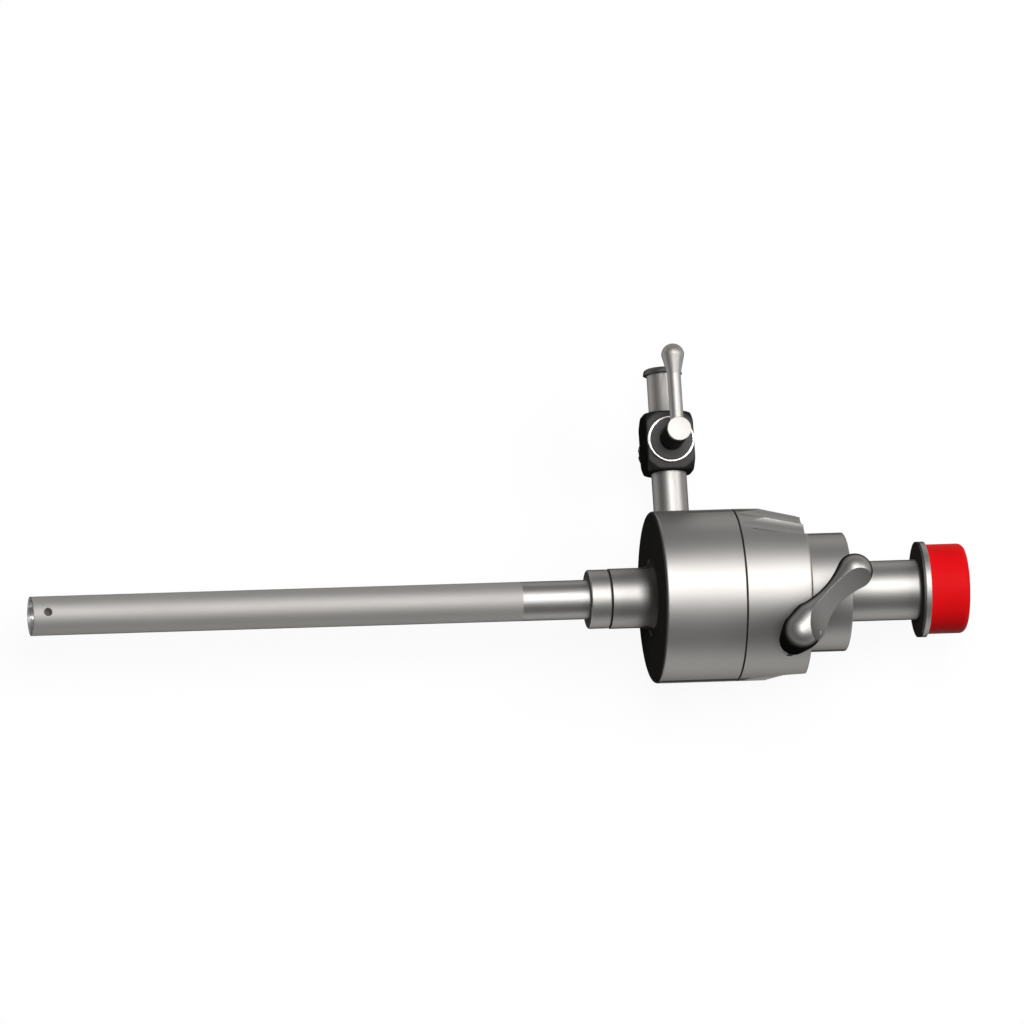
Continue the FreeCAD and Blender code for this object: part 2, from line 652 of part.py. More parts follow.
def build_lever():
    """A bone-shaped bar with a round thumb scoop ground into it, on a short stem over the shaft."""
    lever = new_body("lever", (*PIVOT, LEVER_HEIGHT), "lever_angle")
    shoulder_y = "(hub_radius - shoulder_curve)"
    run = "(lever_length - hub_straight)"
    reach = f"sqrt({run} ^ 2 + {shoulder_y} ^ 2)"
    hub_side, lobe_side = "(shoulder_curve + waist_curve)", "(lobe_radius + waist_curve)"
    along = f"(({hub_side} ^ 2 - {lobe_side} ^ 2 + {reach} ^ 2) / (2 * {reach}))"
    across = f"sqrt({hub_side} ^ 2 - {along} ^ 2)"
    waist_x = f"(hub_straight + ({along} * {run} + {across} * {shoulder_y}) / {reach})"
    waist_y = f"({shoulder_y} + ({across} * {run} - {along} * {shoulder_y}) / {reach})"
    turn(lever, "bone", "X", [
        ("hub_shift - hub_radius", "0"), ("hub_shift", "hub_radius", "hub_radius", -1),
        ("hub_straight", "hub_radius"),
        (f"hub_straight + ({waist_x} - hub_straight) * shoulder_curve / {hub_side}",
         f"{shoulder_y} + ({waist_y} - {shoulder_y}) * shoulder_curve / {hub_side}", "shoulder_curve", -1),
        (f"lever_length + ({waist_x} - lever_length) * lobe_radius / {lobe_side}",
         f"{waist_y} * lobe_radius / {lobe_side}", "waist_curve", 1),
        ("lever_length", "lobe_radius", "lobe_radius", -1),
        ("lever_length + lobe_radius", "0", "lobe_radius", -1),
    ])
    foot = "lever_rise - washer_thickness - stem_clearance"
    stem = circle_sketch(lever, "stem_outline", "XY_Plane", ("0", "0"), "foot_radius", f"-({foot})")
    extrude(lever, "stem", stem, foot)
    scoop = lever.newObject("PartDesign::SubtractiveCylinder", "thumb_scoop")
    scoop.setExpression("Radius", bound("scoop_radius"))
    scoop.setExpression("Height", bound("4 * hub_radius"))
    scoop.setExpression("Placement", (
        f"create(<<placement>>; create(<<vector>>; {bound('scoop_station')} * 1mm; 0mm; 0mm); "
        f"create(<<rotation>>; create(<<vector>>; 1; 0; 0); ({bound('scoop_angle')} - 180) * 1deg)) * "
        f"create(<<placement>>; create(<<vector>>; 0mm; -({bound('scoop_offset + scoop_radius')}) * 1mm; "
        f"-2 * {bound('hub_radius')} * 1mm); create(<<rotation>>; create(<<vector>>; 0; 0; 1); 0deg))"
    ))
    bore = circle_sketch(lever, "shaft_bore_outline", "XY_Plane", ("0", "0"), "shaft_radius",
                         f"-({foot})")
    extrude(lever, "shaft_bore", bore, f"{foot} - shaft_cover", cut=True, backwards=True)
    hole = circle_sketch(lever, "pin_hole_outline", "XZ_Plane", ("0", "pin_rise - lever_rise"), "pin_radius")
    extrude(lever, "pin_hole", hole, "4 * foot_radius", cut=True, both_ways=True)


def build_stopcock_body():
    base = (STOPCOCK_STATION, "0", "0")
    stem = new_body("stopcock_stem", base)
    turn(stem, "tube", "Y", [
        (STEM_SEAT, "gas_radius"), (f"{BLOCK_BOTTOM} + port_spigot_length", "gas_radius"),
        (f"{BLOCK_BOTTOM} + port_spigot_length", "port_spigot_radius"),
        (BLOCK_BOTTOM, "port_spigot_radius"), (BLOCK_BOTTOM, "stem_radius"),
        (STEM_SEAT, "stem_radius"),
    ])

    block = new_body("stopcock_block", base)
    square = new_sketch(block, "square", "XZ_Plane", f"-{BLOCK_BOTTOM}")
    half = "block_width / 2"
    draw_outline(square, [(half, f"-{half}"), (half, half), (f"-{half}", half), (f"-{half}", f"-{half}")])
    extrude(block, "prism", square, "block_height", backwards=True)
    outside = "block_width"
    bottom_step = f"{BLOCK_BOTTOM} + block_turned_length"
    top_step = f"{BLOCK_TOP} - block_turned_length"
    turn(block, "turned_bottom", "Y", [
        (BLOCK_BOTTOM, "block_turned_radius"), (bottom_step, "block_width * sqrt(2) / 2"),
        (bottom_step, outside), (BLOCK_BOTTOM, outside),
    ], cut=True)
    turn(block, "turned_top", "Y", [
        (BLOCK_TOP, "block_turned_radius"), (top_step, "block_width * sqrt(2) / 2"),
        (top_step, outside), (BLOCK_TOP, outside),
    ], cut=True)
    sockets = (("stem_socket", BLOCK_BOTTOM), ("port_socket", f"{BLOCK_TOP} - port_spigot_length"))
    for name, height in sockets:
        socket = circle_sketch(block, f"{name}_outline", "XZ_Plane", ("0", "0"), "port_spigot_radius",
                               f"-({height})")
        extrude(block, name, socket, "port_spigot_length", cut=True)
    passage = circle_sketch(block, "passage_outline", "XZ_Plane", ("0", "0"), "gas_radius",
                            f"-{BLOCK_BOTTOM}")
    extrude(block, "passage", passage, "block_height", cut=True)
    taper = new_sketch(block, "taper_outline", "YZ_Plane")
    draw_outline(taper, [
        (PLUG_CENTRE, f"-{half}"), (f"{PLUG_CENTRE} + plug_small_radius", f"-{half}"),
        (f"{PLUG_CENTRE} + plug_large_radius", half), (PLUG_CENTRE, half),
    ])
    seat = block.newObject("PartDesign::Groove", "plug_taper")
    seat.Profile = taper
    seat.ReferenceAxis = (taper, ["Edge1"])
    seat.Angle = 360

    port = new_body("luer_port", (STOPCOCK_STATION, BLOCK_TOP, "0"))
    top = total("port_length", "port_rim_thickness")
    turn(port, "socket_tube", "Y", [
        ("-port_spigot_length", "gas_radius"), (f"{top} - socket_depth", "gas_radius"),
        (f"{top} - socket_depth", "socket_floor_radius"), (top, "socket_mouth_radius"),
        (top, "port_rim_radius"), ("port_length", "port_rim_radius"), ("port_length", "port_radius"),
        ("0", "port_radius"), ("0", "port_spigot_radius"), ("-port_spigot_length", "port_spigot_radius"),
    ])


def build_stopcock_plug():
    half = "block_width / 2"
    plug = new_body("stopcock_plug", (*PLUG_AXIS, "0"))
    tail_end = f"-({half} + tail_washer_thickness + spring_washer_height + nut_length)"
    turn(plug, "taper", "Z", [
        (tail_end, "0"), (tail_end, "plug_tail_radius"), (f"-{half}", "plug_tail_radius"),
        (f"-{half}", "plug_small_radius - plug_clearance"), (half, "plug_large_radius - plug_clearance"),
        (half, "plug_post_radius"), (f"{half} + plug_post_length", "plug_post_radius"),
        (f"{half} + plug_post_length", "0"),
    ])
    bore = circle_sketch(plug, "cross_bore_outline", "XZ_Plane", ("0", "0"), "gas_radius")
    extrude(plug, "cross_bore", bore, "4 * plug_large_radius", cut=True, both_ways=True)

    ring = new_body("plug_ring", (*PLUG_AXIS, f"{half} + plug_gap"))
    turn(ring, "bevelled_ring", "Z", [
        ("0", "plug_post_radius"), ("plug_ring_thickness", "plug_post_radius"),
        ("plug_ring_thickness", "plug_ring_radius - plug_ring_bevel"),
        ("plug_ring_thickness - plug_ring_bevel", "plug_ring_radius"), ("0", "plug_ring_radius"),
    ])

    base = f"{half} + plug_gap + plug_ring_thickness"
    handle = new_body("plug_handle", (*PLUG_AXIS, base))
    bore_depth = "plug_post_length - plug_gap - plug_ring_thickness"
    turn(handle, "hub", "Z", [
        ("0", "plug_post_radius"), ("0", "head_radius"), ("head_thickness", "head_radius"),
        ("head_thickness", "handle_hub_radius"),
        ("head_thickness + handle_hub_length - handle_dome", "handle_hub_radius"),
        ("head_thickness + handle_hub_length", "handle_hub_radius - handle_dome"),
        ("head_thickness + handle_hub_length", "0"), (bore_depth, "0"), (bore_depth, "plug_post_radius"),
    ])
    arm = new_sketch(handle, "arm_outline", "XY_Plane", "rod_rise")
    draw_outline(arm, [
        ("0", "0"), ("rod_radius", "0"), ("rod_radius", "rod_end"),
        ("knob_radius", "knob_centre"),
        ("0", "knob_centre + knob_radius", "knob_radius", 1),
    ])
    rod = handle.newObject("PartDesign::Revolution", "arm")
    rod.Profile = arm
    rod.ReferenceAxis = (arm, ["V_Axis"])
    rod.Angle = 360

    ring_piece("plug_washer", "Z", "tail_washer_thickness - plug_gap", "plug_tail_radius",
               "tail_washer_radius",
               (*PLUG_AXIS, f"-({half} + tail_washer_thickness)"))

    washer_bottom = f"{half} + tail_washer_thickness + spring_washer_height"
    spring = new_body("spring_washer", (*PLUG_AXIS, f"-({washer_bottom})"))
    turn(spring, "cone", "Z", [
        ("spring_washer_height - spring_washer_thickness", "plug_tail_radius"),
        ("spring_washer_height", "plug_tail_radius"), ("spring_washer_thickness", "spring_washer_radius"),
        ("0", "spring_washer_radius"),
    ])

    nut = new_body("plug_nut", (*PLUG_AXIS, f"-({washer_bottom} + nut_length)"))
    turn(nut, "disc", "Z", tube_outline("0", "nut_length", "plug_tail_radius", "nut_radius"))
    slot = new_sketch(nut, "slot_outline", "XY_Plane")
    draw_outline(slot, [
        ("-nut_radius", "-nut_slot_width / 2"), ("nut_radius", "-nut_slot_width / 2"),
        ("nut_radius", "nut_slot_width / 2"), ("-nut_radius", "nut_slot_width / 2"),
    ])
    extrude(nut, "driver_slot", slot, "nut_slot_depth", cut=True, backwards=True)


def write_parts():
    doc.recompute()
    for item in doc.Objects:
        if "Invalid" in item.State or "Error" in item.State:
            raise RuntimeError(f"{item.Label} did not build: {item.State}")
    os.makedirs("parts", exist_ok=True)
    for body in SUB_PARTS:
        shape = body.Shape
        if shape.isNull() or not shape.isValid():
            raise RuntimeError(f"{body.Label} has no sound shape")
        shape.exportStep(f"parts/{body.Label}.step")
        box = shape.BoundBox
        print(f"{body.Label:16s} solids {len(shape.Solids)} volume {shape.Volume:9.2f} "
              f"x {box.XMin:.2f}..{box.XMax:.2f} y {box.YMin:.2f}..{box.YMax:.2f} "
              f"z {box.ZMin:.2f}..{box.ZMax:.2f}")


build_cannula()
build_drum()
build_rear_ring()
build_rear_housing()
build_flap()
build_shaft()
build_spring()
build_lever()
build_stopcock_body()
build_stopcock_plug()
write_parts()
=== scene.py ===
from math import cos, pi, radians, sin

import bmesh
import bpy
from mathutils import Matrix, Vector


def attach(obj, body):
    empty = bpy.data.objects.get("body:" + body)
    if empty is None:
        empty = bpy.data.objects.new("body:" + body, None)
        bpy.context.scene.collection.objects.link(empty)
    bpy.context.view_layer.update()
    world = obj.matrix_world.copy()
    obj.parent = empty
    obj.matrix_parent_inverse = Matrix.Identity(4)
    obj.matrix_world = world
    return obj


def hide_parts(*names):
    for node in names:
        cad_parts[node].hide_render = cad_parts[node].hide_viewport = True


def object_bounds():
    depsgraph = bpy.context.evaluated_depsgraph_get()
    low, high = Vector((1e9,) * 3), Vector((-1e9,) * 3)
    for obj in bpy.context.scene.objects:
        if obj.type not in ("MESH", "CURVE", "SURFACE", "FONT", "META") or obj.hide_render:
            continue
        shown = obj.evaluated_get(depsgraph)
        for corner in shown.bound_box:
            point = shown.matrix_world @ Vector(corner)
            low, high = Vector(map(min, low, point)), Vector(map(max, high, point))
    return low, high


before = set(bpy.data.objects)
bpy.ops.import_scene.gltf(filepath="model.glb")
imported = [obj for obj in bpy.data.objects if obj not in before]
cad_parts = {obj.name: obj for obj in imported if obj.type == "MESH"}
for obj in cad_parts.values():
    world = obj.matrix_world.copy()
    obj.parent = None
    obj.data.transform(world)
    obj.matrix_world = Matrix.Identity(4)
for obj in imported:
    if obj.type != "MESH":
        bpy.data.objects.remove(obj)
cad_low, cad_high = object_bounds()

MM = 0.001

# The camera's own axes in the part's frame: right, up and back towards the viewer.
VIEW_RIGHT = Vector((0.98478, -0.0638, 0.1617)).normalized()
VIEW_UP = Vector((0.02983, 0.9784, 0.2044)).normalized()
VIEW_BACK = VIEW_RIGHT.cross(VIEW_UP)
VIEW_WIDTH = 181.56 * MM
VIEW_CENTRE = (85.355 * VIEW_RIGHT + 18.505 * VIEW_UP) * MM
CAMERA_DISTANCE = 0.6
CLIP_START, CLIP_END = 0.01, 5.0

# Each lamp: its direction as shares of the camera's right, up and back, its width and height
# in metres, and its power in watts.
LAMPS = {
    "key": ((0.14, 0.28, 0.767), 0.6, 1.0, 15.0),
    "side": ((0.82, 0.25, 0.57), 0.6, 0.6, 8.0),
}
LAMP_DISTANCE = 1.2
WORLD_GREY = 0.05

# The floors: how far below the object each lies in millimetres, and half their width in metres.
FLOOR_DEPTHS = {"floor": 0.02, "lower_floor": 150.0}
FLOOR_REACH = 3.0
# Their grey to light that falls on the object, their grey to the eye, and the share of the eye's
# view that glows white instead.
FLOOR_DARK, FLOOR_PALE, FLOOR_GLOW = 0.15, 0.8, 0.93

# Axes of the turned pieces: a point on the axis in metres, and its direction.
STOPCOCK_X = 116.35
MAIN_AXIS = (Vector((0, 0, 0)), Vector((1, 0, 0)))
BRANCH_AXIS = (Vector((STOPCOCK_X, 0, 0)) * MM, Vector((0, 1, 0)))
PLUG_AXIS = (Vector((STOPCOCK_X, 27.65, 0)) * MM, Vector((0, 0, 1)))
SHAFT_AXIS = (Vector((134.53, -11.22, 0)) * MM, Vector((0, 0, 1)))
PORT_AXIS = (Vector((STOPCOCK_X, 33.0, 0)) * MM, Vector((0, 1, 0)))
LEVER_LINE = Vector((0.6984, 0.7157, 0))

# Where a finish, painted light or painted shade changes, in metres: along the tube and out from
# its axis (the bore's painted light), up the plug's handle and out from its axis (painted shade),
# and up the lever (painted shade).
POLISH_START, TUBE_BORE = 88.1 * MM, 3.2 * MM
PLUG_HEAD_TOP, HUB_WALL_TOP, HUB_RADIUS = 5.4 * MM, 13.2 * MM, 2.17 * MM
LEVER_SHADE_FULL, LEVER_SHADE_GONE = 14.5 * MM, 19.0 * MM
# The upward part of the lever's normal, from a flank painted in shade to its top.
SHADED_FLANK_NORMAL, TOP_NORMAL = 0.34, 0.80
# Where painted shade on a front face begins, is full, starts to fade and ends, in millimetres
# along the main axis.
DRUM_FRONT_SHADE = (108.2, 111.0, 112.05, 112.35)
FLANGE_FRONT_SHADE = (159.0, 159.4, 159.85, 160.05)

# How much more red, and less blue, than a plain grey the steel has.
STEEL_WARMTH = 0.035
BLACK_RUBBER = (0.010, 0.010, 0.011)

# The colour sockets of a Mix node, which holds a set for each data type.
MIX_FIRST, MIX_SECOND, MIX_RESULT = 6, 7, 2


def make_camera():
    data = bpy.data.cameras.new("camera")
    data.type = "ORTHO"
    data.ortho_scale = VIEW_WIDTH
    data.clip_start, data.clip_end = CLIP_START, CLIP_END
    camera = bpy.data.objects.new("camera", data)
    bpy.context.scene.collection.objects.link(camera)
    turn = Matrix((VIEW_RIGHT, VIEW_UP, VIEW_BACK)).transposed().to_4x4()
    camera.matrix_world = Matrix.Translation(VIEW_CENTRE + VIEW_BACK * CAMERA_DISTANCE) @ turn
    bpy.context.scene.camera = camera


def softbox(name, direction, width, height, power):
    """A rectangular area lamp that faces the middle of the view."""
    data = bpy.data.lights.new(name, "AREA")
    data.shape = "RECTANGLE"
    data.size, data.size_y = width, height
    data.energy = power
    lamp = bpy.data.objects.new(name, data)
    bpy.context.scene.collection.objects.link(lamp)
    away = direction.normalized()
    lamp.location = VIEW_CENTRE + away * LAMP_DISTANCE
    lamp.rotation_euler = away.to_track_quat("Z", "Y").to_euler()


def make_light():
    scene = bpy.context.scene
    scene.view_settings.view_transform = "Standard"
    world = bpy.data.worlds.new("world")
    scene.world = world
    world.use_nodes = True
    background = world.node_tree.nodes["Background"]
    background.inputs["Color"].default_value = (WORLD_GREY, WORLD_GREY, WORLD_GREY, 1)
    background.inputs["Strength"].default_value = 1.0
    for name, ((right, up, back), width, height, power) in LAMPS.items():
        direction = VIEW_RIGHT * right + VIEW_UP * up + VIEW_BACK * back
        softbox(name, direction, width, height, power)


class Shade:
    """One material: its tree, its Principled shader and short ways to add nodes."""

    def __init__(self, name):
        self.material = bpy.data.materials.new(name)
        self.material.use_nodes = True
        self.tree = self.material.node_tree
        self.tree.nodes.clear()
        self.output = self.add("OutputMaterial")
        self.shader = self.add("BsdfPrincipled")
        self.link(self.shader.outputs[0], self.output.inputs[0])
        self.point = self.add("TexCoord").outputs["Object"]
        self.normal = None

    def add(self, kind, **settings):
        made = self.tree.nodes.new("ShaderNode" + kind)
        for key, value in settings.items():
            setattr(made, key, value)
        return made

    def link(self, source, target):
        self.tree.links.new(source, target)

    def feed(self, target, value):
        """Link a socket to an input, or write a plain number or colour on it."""
        if isinstance(value, bpy.types.NodeSocket):
            self.link(value, target)
        elif isinstance(value, (Vector, tuple)) and len(value) == 3 and target.type == "RGBA":
            target.default_value = (*value, 1)
        else:
            target.default_value = value

    def give(self, name, value):
        """Feed an input of the Principled shader."""
        self.feed(self.shader.inputs[name], value)

    def given(self, name):
        """What is linked to an input of the Principled shader."""
        return self.shader.inputs[name].links[0].from_socket

    def math(self, operation, first, second=None, third=None, clamp=False):
        made = self.add("Math", operation=operation, use_clamp=clamp)
        for slot, value in zip(made.inputs, (first, second, third)):
            if value is not None:
                self.feed(slot, value)
        return made.outputs[0]

    def vector(self, operation, first, second=None):
        made = self.add("VectorMath", operation=operation)
        for slot, value in zip(made.inputs, (first, second)):
            if value is not None:
                self.feed(slot, value)
        wanted = "Value" if operation in ("DOT_PRODUCT", "LENGTH") else "Vector"
        return made.outputs[wanted]

    def upward(self, vector):
        """The Z part of a vector."""
        parts = self.add("SeparateXYZ")
        self.link(vector, parts.inputs[0])
        return parts.outputs["Z"]

    def noise(self, scale, detail=2.0, roughness=0.5, along=None):
        """Noise over the object's own coordinates, or over one coordinate where it is given."""
        made = self.add("TexNoise", noise_dimensions="3D" if along is None else "1D")
        if along is None:
            self.link(self.point, made.inputs["Vector"])
        else:
            self.link(along, made.inputs["W"])
        made.inputs["Scale"].default_value = scale
        made.inputs["Detail"].default_value = detail
        made.inputs["Roughness"].default_value = roughness
        return made.outputs["Fac"]

    def span(self, value, low, high, to_low=0.0, to_high=1.0, smooth=False):
        made = self.add("MapRange", interpolation_type="SMOOTHSTEP" if smooth else "LINEAR")
        for key, item in (("Value", value), ("From Min", low), ("From Max", high),
                          ("To Min", to_low), ("To Max", to_high)):
            self.feed(made.inputs[key], item)
        return made.outputs["Result"]

    def blend(self, share, first, second):
        made = self.add("Mix", data_type="RGBA")
        self.feed(made.inputs["Factor"], share)
        self.feed(made.inputs[MIX_FIRST], first)
        self.feed(made.inputs[MIX_SECOND], second)
        return made.outputs[MIX_RESULT]

    def cover(self, share, colour, rough):
        """Lay another colour and roughness over the finish, as far as share goes from 0 to 1."""
        self.give("Base Color", self.blend(share, self.given("Base Color"), colour))
        self.give("Roughness", self.span(share, 0.0, 1.0, self.given("Roughness"), rough))

    def axis_distance(self, axis):
        """The way along an axis and the way out from it."""
        centre, direction = axis
        local = self.vector("SUBTRACT", self.point, centre)
        along = self.vector("DOT_PRODUCT", local, direction)
        out = self.vector("LENGTH", self.vector("CROSS_PRODUCT", local, direction))
        return along, out

    def lathe_lines(self, axis, scale, detail=2.0, roughness=0.5):
        """Noise over the way along an axis plus the way out: its lines ring every turned face."""
        along, out = self.axis_distance(axis)
        return self.noise(scale, detail, roughness, along=self.math("ADD", along, out))

    def bump(self, height, strength, depth):
        """A bump on top of the bumps and the softened edges that are there already."""
        made = self.add("Bump")
        made.inputs["Strength"].default_value = strength
        made.inputs["Distance"].default_value = depth
        self.feed(made.inputs["Height"], height)
        if self.normal is not None:
            self.link(self.normal, made.inputs["Normal"])
        self.normal = made.outputs["Normal"]
        self.give("Normal", self.normal)

    def edge(self, radius, gain):
        """Soften the shading of sharp edges, and give 0 on plain surface to 1 on an edge."""
        soft = self.add("Bevel", samples=4)
        soft.inputs["Radius"].default_value = radius
        self.normal = soft.outputs["Normal"]
        self.give("Normal", self.normal)
        flat = self.add("NewGeometry").outputs["Normal"]
        turned = self.vector("DOT_PRODUCT", soft.outputs["Normal"], flat)
        return self.math("MULTIPLY", self.math("SUBTRACT", 1.0, turned), gain, clamp=True)


def scaled(colour, factor, lift=0.0):
    return tuple(min(1, channel * factor + lift) for channel in colour)


def steel(name, base, rough, axis=None, lines=0.5, grain=0.0, wear=0.25):
    """Stainless steel with lathe lines round its axis, soft stains and edges rubbed brighter.

    The grey and the roughness come first. Lines, grain and wear say how strong the lathe lines,
    the blasted grain and the rubbed edges are.
    """
    shade = Shade(name)
    shade.give("Metallic", 0.9)
    shade.give("Specular IOR Level", 0.0)
    shade.give("Specular Tint", (0, 0, 0))
    edge = shade.edge(0.12 * MM, 4.0)
    stain = shade.noise(70.0, 4.0, 0.55)
    speck = shade.noise(6500.0, 2.0, 0.6)
    if axis is None:
        fine = shade.noise(2600.0, 3.0, 0.6)
    else:
        fine = shade.lathe_lines(axis, 7000.0, 3.0, 0.65)
    stain_tone, fine_tone, speck_tone, full_tone = 0.10, 0.06, 0.10, 0.26
    tint = tuple(base * k for k in (1.0 + STEEL_WARMTH, 1.0, 1.0 - STEEL_WARMTH))
    tone = shade.math("ADD", shade.math("MULTIPLY", stain, stain_tone),
                      shade.math("MULTIPLY", fine, fine_tone * lines))
    tone = shade.math("ADD", tone, shade.math("MULTIPLY", speck, speck_tone * grain))
    tone = shade.span(tone, 0.0, full_tone)
    colour = shade.blend(tone, scaled(tint, 0.90), scaled(tint, 1.10))
    colour = shade.blend(shade.math("MULTIPLY", edge, wear), colour, scaled(tint, 2.1))
    shade.give("Base Color", colour)
    stain_rough, fine_rough, edge_polish = 0.08, 0.05, 0.10
    spread = shade.math("ADD", shade.math("MULTIPLY", stain, stain_rough),
                        shade.math("MULTIPLY", fine, fine_rough * lines))
    # Half of each share comes off again, so that rough stays the mean.
    spread = shade.math("ADD", spread, rough - stain_rough / 2 - fine_rough / 2 * lines)
    spread = shade.math("SUBTRACT", spread, shade.math("MULTIPLY", edge, edge_polish * wear))
    shade.give("Roughness", spread)
    shade.bump(fine, 0.10 * lines, 0.01 * MM)
    if grain:
        shade.bump(speck, 0.25 * grain, 0.012 * MM)
    return shade


def blasted_tube():
    """The cannula: glass-blasted, with a polished length before the collar and a near-white bore
    that is painted light.
    """
    shade = steel("blasted_tube", 0.42, 0.68, MAIN_AXIS, lines=0.35, grain=0.8)
    along, out = shade.axis_distance(MAIN_AXIS)
    wander = shade.math("MULTIPLY", shade.noise(900.0), 0.25 * MM)
    polish = shade.span(shade.math("ADD", along, wander),
                        POLISH_START, POLISH_START + 0.4 * MM, smooth=True)
    bore = shade.span(out, TUBE_BORE, TUBE_BORE + 0.05 * MM, 1.0, 0.0)
    shade.cover(polish, (0.37, 0.36, 0.35), 0.44)
    # Painted light: the bore's near-white grey makes the inside look lit.
    shade.cover(bore, (0.96, 0.95, 0.94), 0.30)
    return shade.material


def paint_front_shade(shade, start, full, fading, end):
    """Paint shade on a turned piece along its axis: from start to full, then out from fading to
    end.
    """
    along, _ = shade.axis_distance(MAIN_AXIS)
    begun = shade.span(along, start * MM, full * MM, smooth=True)
    ended = shade.span(along, fading * MM, end * MM, 1.0, 0.0, smooth=True)
    # Painted shade: the front face and its round are darkened.
    shade.cover(shade.math("MULTIPLY", begun, ended), (0.085, 0.082, 0.078), 0.62)
    return shade.material


def lever_steel():
    """The lever: painted shade on its flanks and towards its foot, so that its top looks lit."""
    shade = steel("lever_steel", 0.38, 0.44, lines=0.3)
    height = shade.upward(shade.point)
    foot = shade.span(height, LEVER_SHADE_FULL, LEVER_SHADE_GONE, 1.0, 0.0, smooth=True)
    facing = shade.upward(shade.add("NewGeometry").outputs["Normal"])
    flank = shade.span(facing, SHADED_FLANK_NORMAL, TOP_NORMAL, 1.0, 0.0, smooth=True)
    # Painted shade: the lever's flanks and its lower part are darkened.
    shade.cover(shade.math("MAXIMUM", foot, flank), (0.035, 0.034, 0.033), 0.60)
    return shade.material


def handle_steel():
    """The plug's handle: painted shade on its head disc and hub wall, under a polished end, rod
    and knob.
    """
    shade = steel("handle_steel", 0.42, 0.52, lines=0.2)
    height = shade.upward(shade.point)
    _, out = shade.axis_distance(PLUG_AXIS)
    head = shade.span(height, PLUG_HEAD_TOP, PLUG_HEAD_TOP + 0.05 * MM, 1.0, 0.0)
    wall = shade.span(height, HUB_WALL_TOP, HUB_WALL_TOP + 0.3 * MM, 1.0, 0.0)
    inside = shade.span(out, HUB_RADIUS, HUB_RADIUS + 0.05 * MM, 1.0, 0.0)
    wall = shade.math("MULTIPLY", wall, inside)
    # Painted shade: the hub's shadow on the head disc, and the dark side of the hub wall.
    shade.cover(shade.math("MAXIMUM", head, wall), (0.065, 0.064, 0.063), 0.62)
    return shade.material


def bright_ring():
    """The rolled ring under the head disc, polished all round."""
    shade = Shade("bright_ring")
    shade.give("Metallic", 1.0)
    fine = shade.lathe_lines(PLUG_AXIS, 7000.0)
    dull = shade.noise(900.0, 3.0)
    shade.give("Base Color", shade.blend(dull, (0.86, 0.86, 0.85), (0.96, 0.96, 0.95)))
    shade.give("Roughness", shade.math("MULTIPLY_ADD", fine, 0.10, 0.26))
    return shade.material


def black_rubber():
    """Moulded rubber: a fine matt grain with a few paler rubbed places."""
    shade = Shade("black_rubber")
    shade.give("Specular IOR Level", 0.35)
    edge = shade.edge(0.08 * MM, 3.0)
    rubbed = shade.span(shade.noise(260.0, 4.0, 0.6), 0.45, 0.75)
    grain = shade.noise(9000.0, 2.0, 0.6)
    colour = shade.blend(shade.math("MULTIPLY", rubbed, 0.5),
                         BLACK_RUBBER, scaled(BLACK_RUBBER, 1.8, 0.004))
    colour = shade.blend(shade.math("MULTIPLY", edge, 0.3),
                         colour, scaled(BLACK_RUBBER, 2.2, 0.01))
    shade.give("Base Color", colour)
    shade.give("Roughness", shade.math("MULTIPLY_ADD", grain, 0.12, 0.56))
    shade.bump(grain, 0.15, 0.012 * MM)
    return shade.material


def red_silicone():
    """The cap: smooth moulded silicone with a satin skin, a little paler on its edges."""
    shade = Shade("red_silicone")
    shade.give("Specular IOR Level", 0.03)
    edge = shade.edge(0.15 * MM, 3.0)
    cloud = shade.noise(150.0, 3.0)
    grain = shade.noise(7000.0, 2.0, 0.6)
    colour = shade.blend(cloud, (0.54, 0.004, 0.006), (0.64, 0.006, 0.008))
    colour = shade.blend(shade.math("MULTIPLY", edge, 0.35), colour, (0.68, 0.01, 0.012))
    shade.give("Base Color", colour)
    shade.give("Roughness", shade.math("MULTIPLY_ADD", grain, 0.10, 0.45))
    shade.bump(cloud, 0.06, 0.05 * MM)
    shade.bump(grain, 0.06, 0.008 * MM)
    return shade.material


def clear_silicone():
    """Milky silicone of the valve seat and the inner seal."""
    shade = Shade("clear_silicone")
    shade.give("Specular IOR Level", 0.4)
    shade.give("Transmission Weight", 0.25)
    cloud = shade.noise(320.0, 3.0, 0.55)
    grain = shade.noise(8000.0)
    shade.give("Base Color", shade.blend(cloud, (0.68, 0.68, 0.63), (0.80, 0.80, 0.77)))
    shade.give("Roughness", shade.math("MULTIPLY_ADD", grain, 0.12, 0.32))
    shade.bump(grain, 0.08, 0.01 * MM)
    return shade.material


def bronze():
    """Sintered bronze with open pores."""
    shade = Shade("bronze")
    shade.give("Metallic", 1.0)
    pores = shade.add("TexVoronoi", feature="F1")
    shade.link(shade.point, pores.inputs["Vector"])
    pores.inputs["Scale"].default_value = 7000.0
    pit = shade.span(pores.outputs["Distance"], 0.1, 0.35)
    tarnish = shade.noise(500.0, 4.0, 0.6)
    colour = shade.blend(tarnish, (0.42, 0.26, 0.12), (0.62, 0.43, 0.22))
    shade.give("Base Color", shade.blend(pit, (0.16, 0.10, 0.05), colour))
    shade.give("Roughness", shade.math("MULTIPLY_ADD", tarnish, 0.2, 0.35))
    shade.bump(pit, 0.4, 0.02 * MM)
    return shade.material


def white_plastic():
    """Low-friction washer plastic with faint turning rings."""
    shade = Shade("white_plastic")
    rings = shade.lathe_lines(SHAFT_AXIS, 6000.0)
    cloud = shade.noise(400.0, 3.0)
    shade.give("Base Color", shade.blend(cloud, (0.70, 0.70, 0.67), (0.80, 0.80, 0.78)))
    shade.give("Roughness", shade.math("MULTIPLY_ADD", rings, 0.14, 0.40))
    shade.bump(rings, 0.2, 0.01 * MM)
    return shade.material


